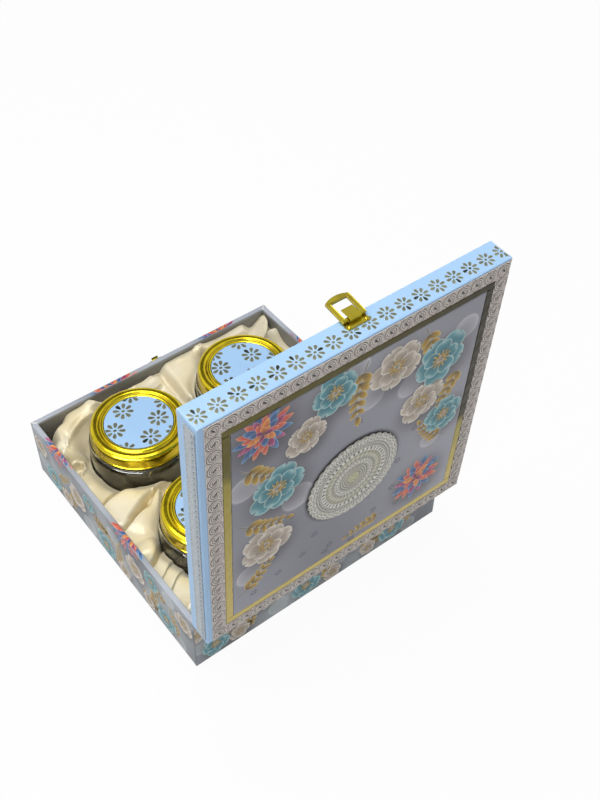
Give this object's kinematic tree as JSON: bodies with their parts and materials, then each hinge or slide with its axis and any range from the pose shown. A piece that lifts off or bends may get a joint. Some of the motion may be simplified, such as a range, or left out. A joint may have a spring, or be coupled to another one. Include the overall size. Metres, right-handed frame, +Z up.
{
  "type": "gift hamper box",
  "caption": "Square paper-covered gift box with a hinged lid on stop hinges, a hasp and catch, and a satin-lined tray holding lug-cap glass jars.",
  "frame": {"origin": "middle of the box's underside", "axes": "+Z up; the front, with the catch, faces -Y; the hinge line is along X at the back; the lid stands open"},
  "size_m": [0.2522, 0.2859, 0.3192],
  "materials": {
    "printed_board": "grey printed paper over board",
    "blue_board": "light blue paper over board",
    "printed_paper": "semi-gloss print",
    "blue_label": "printed paper",
    "gold_metal": "bright gold plate",
    "gold_cap": "gold lacquer",
    "gold_foil": "mirror foil",
    "lace": "silver lace",
    "doily": "ivory lace",
    "satin": "satin sheen",
    "glass": "clear",
    "seal": "matte"
  },
  "bodies": {
    "base": {"base_floor": "printed_board", "base_front_wall": "printed_board", "base_back_wall": "printed_board", "base_left_wall": "printed_board", "base_right_wall": "printed_board", "satin_lining": "satin", "catch": "gold_metal", "catch_nail_1": "gold_metal", "catch_nail_2": "gold_metal", "hinge_1_base_leaf": "gold_metal", "hinge_1_pin": "gold_metal", "hinge_2_base_leaf": "gold_metal", "hinge_2_pin": "gold_metal", "base_hinge_nail_1": "gold_metal", "base_hinge_nail_2": "gold_metal", "base_hinge_nail_3": "gold_metal", "base_hinge_nail_4": "gold_metal"},
    "lid": {"lid_top_panel": "blue_board", "lid_front_wall": "blue_board", "lid_back_wall": "blue_board", "lid_left_wall": "blue_board", "lid_right_wall": "blue_board", "lace_strip_front": "lace", "lace_strip_back": "lace", "lace_strip_left": "lace", "lace_strip_right": "lace", "foil_strip_front": "gold_foil", "foil_strip_back": "gold_foil", "foil_strip_left": "gold_foil", "foil_strip_right": "gold_foil", "printed_sheet": "printed_paper", "doily_medallion": "doily", "side_lace_left": "lace", "side_lace_right": "lace", "hasp_bracket": "gold_metal", "bracket_nail_1": "gold_metal", "bracket_nail_2": "gold_metal", "hinge_1_lid_leaf": "gold_metal", "hinge_2_lid_leaf": "gold_metal", "lid_hinge_nail_1": "gold_metal", "lid_hinge_nail_2": "gold_metal", "lid_hinge_nail_3": "gold_metal", "lid_hinge_nail_4": "gold_metal"},
    "hasp": {"hasp_loop": "gold_metal"},
    "jar_1": {"jar_1_glass": "glass"},
    "liner_1": {"jar_1_liner": "seal"},
    "cap_1": {"jar_1_cap": "gold_cap", "jar_1_label": "blue_label"},
    "jar_2": {"jar_2_glass": "glass"},
    "liner_2": {"jar_2_liner": "seal"},
    "cap_2": {"jar_2_cap": "gold_cap", "jar_2_label": "blue_label"},
    "jar_3": {"jar_3_glass": "glass"},
    "liner_3": {"jar_3_liner": "seal"},
    "cap_3": {"jar_3_cap": "gold_cap", "jar_3_label": "blue_label"},
    "jar_4": {"jar_4_glass": "glass"},
    "liner_4": {"jar_4_liner": "seal"},
    "cap_4": {"jar_4_cap": "gold_cap", "jar_4_label": "blue_label"}
  },
  "joints": [
    {"name": "lid_hinge", "type": "hinge", "parent": "base", "child": "lid", "pos_m": [0, 0.125, 0.06355], "axis": [-1, 0, 0], "range_deg": [-92.6, 0]},
    {"name": "hasp_swing", "type": "hinge", "parent": "lid", "child": "hasp", "pos_m": [-0.003, 0.14081, 0.31579], "axis": [-1, 0, 0], "range_deg": [-7, 145]},
    {"name": "jar_1_lift", "type": "slide", "parent": "base", "child": "jar_1", "axis": [0, 0, 1], "range_m": [0, 0.09]},
    {"name": "cap_1_lift", "type": "slide", "parent": "jar_1", "child": "liner_1", "axis": [0, 0, 1], "range_m": [0, 0.03]},
    {"name": "cap_1_turn", "type": "hinge", "parent": "liner_1", "child": "cap_1", "pos_m": [0.056, -0.057, 0.07], "axis": [0, 0, 1], "range_deg": [0, 90]},
    {"name": "jar_2_lift", "type": "slide", "parent": "base", "child": "jar_2", "axis": [0, 0, 1], "range_m": [0, 0.09]},
    {"name": "cap_2_lift", "type": "slide", "parent": "jar_2", "child": "liner_2", "axis": [0, 0, 1], "range_m": [0, 0.03]},
    {"name": "cap_2_turn", "type": "hinge", "parent": "liner_2", "child": "cap_2", "pos_m": [-0.054, -0.057, 0.07], "axis": [0, 0, 1], "range_deg": [0, 90]},
    {"name": "jar_3_lift", "type": "slide", "parent": "base", "child": "jar_3", "axis": [0, 0, 1], "range_m": [0, 0.09]},
    {"name": "cap_3_lift", "type": "slide", "parent": "jar_3", "child": "liner_3", "axis": [0, 0, 1], "range_m": [0, 0.03]},
    {"name": "cap_3_turn", "type": "hinge", "parent": "liner_3", "child": "cap_3", "pos_m": [0.056, 0.053, 0.07], "axis": [0, 0, 1], "range_deg": [0, 90]},
    {"name": "jar_4_lift", "type": "slide", "parent": "base", "child": "jar_4", "axis": [0, 0, 1], "range_m": [0, 0.09]},
    {"name": "cap_4_lift", "type": "slide", "parent": "jar_4", "child": "liner_4", "axis": [0, 0, 1], "range_m": [0, 0.03]},
    {"name": "cap_4_turn", "type": "hinge", "parent": "liner_4", "child": "cap_4", "pos_m": [-0.054, 0.053, 0.07], "axis": [0, 0, 1], "range_deg": [0, 90]}
  ]
}
